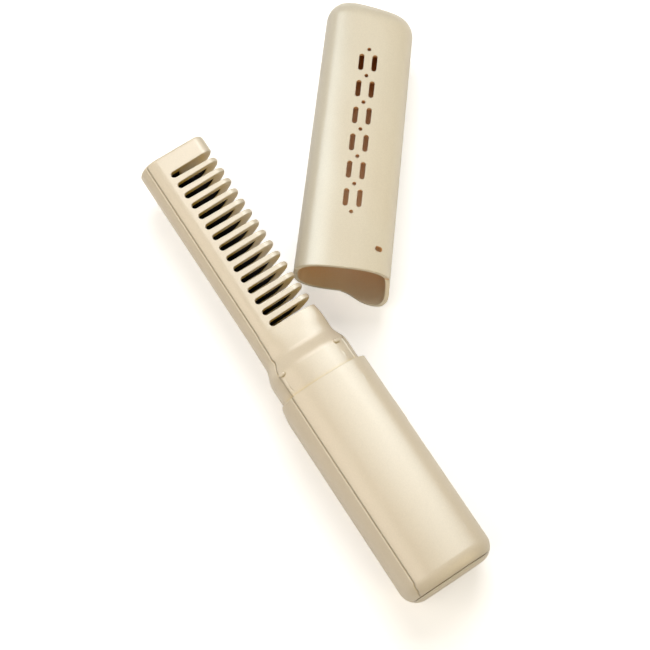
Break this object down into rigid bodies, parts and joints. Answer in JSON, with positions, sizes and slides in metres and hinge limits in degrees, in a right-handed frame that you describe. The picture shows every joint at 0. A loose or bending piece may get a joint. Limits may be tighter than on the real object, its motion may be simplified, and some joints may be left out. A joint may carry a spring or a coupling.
{
  "type": "hot comb",
  "caption": "Cordless heated straightening comb with a guarded toothed head, a stepped handle with a side button, and a vented slip-off cap lying beside it.",
  "frame": {"origin": "centre of the flat end of the handle, at mid depth of the handle", "axes": "+Y along the comb toward its head, +X toward the teeth, +Z out of the front face; the comb and its cap lie side by side in the XY plane"},
  "size_m": [0.1314, 0.2195, 0.031],
  "materials": {
    "pearl_shell": "satin pearl cream",
    "pearl_rear": "satin pearl cream",
    "pearl_cap": "satin pearl cream",
    "pearl_end": "satin pearl cream",
    "coated_aluminium": "matt black coating",
    "heater_ceramic": "matt",
    "electrode_metal": "mill",
    "amber_film": "clear amber film",
    "bed_ceramic": "matt",
    "sensor_glass": "clear",
    "fuse_metal": "bright",
    "wire_red": "silicone",
    "wire_white": "silicone",
    "heat_barrier": "matt heat-proof",
    "cell_wrap": "shrink-wrapped can",
    "cradle_plastic": "matt",
    "nickel": "nickel strip",
    "foam": "open foam",
    "board_green": "solder mask",
    "chip_black": "moulded",
    "socket_steel": "plated",
    "switch_black": "moulded",
    "plunger_plastic": "moulded",
    "button_pearl": "satin pearl cream",
    "lamp": "frosted",
    "clear_guide": "frosted clear",
    "screw_steel": "zinc plated"
  },
  "bodies": {
    "comb": {"front_shell": "pearl_shell", "rear_shell": "pearl_rear", "end_cover": "pearl_end", "heating_comb": "coated_aluminium", "ptc_tiles": "heater_ceramic", "heater_electrodes": "electrode_metal", "heater_film": "amber_film", "heater_bed": "bed_ceramic", "thermistor": "sensor_glass", "thermal_fuse": "fuse_metal", "heater_wires": "wire_red", "sensor_wires": "wire_white", "neck_bulkhead": "heat_barrier", "battery_cell": "cell_wrap", "battery_cradle": "cradle_plastic", "battery_tabs": "nickel", "foam_pad": "foam", "control_board": "board_green", "board_chips": "chip_black", "usb_c_socket": "socket_steel", "side_board": "board_green", "push_switch": "switch_black", "indicator_lamps": "lamp", "indicator_lens": "clear_guide", "shell_screws": "screw_steel"},
    "cap": {"cap": "pearl_cap"},
    "button": {"power_button": "button_pearl"},
    "plunger": {"switch_plunger": "plunger_plastic"}
  },
  "joints": [
    {"name": "cap_slide", "type": "slide", "parent": "comb", "child": "cap", "axis": [0.6347, 0.7727, 0], "range_m": [0, 0.06]},
    {"name": "button_press", "type": "slide", "parent": "comb", "child": "button", "axis": [-1, 0, 0], "range_m": [0, 0.0005], "stiffness_N_per_m": 2000},
    {"name": "plunger_press", "type": "slide", "parent": "comb", "child": "plunger", "axis": [-1, 0, 0], "range_m": [0, 0.0005]}
  ],
  "couplings": [
    {"joint": "plunger_press", "follows": "button_press", "ratio": 1}
  ]
}
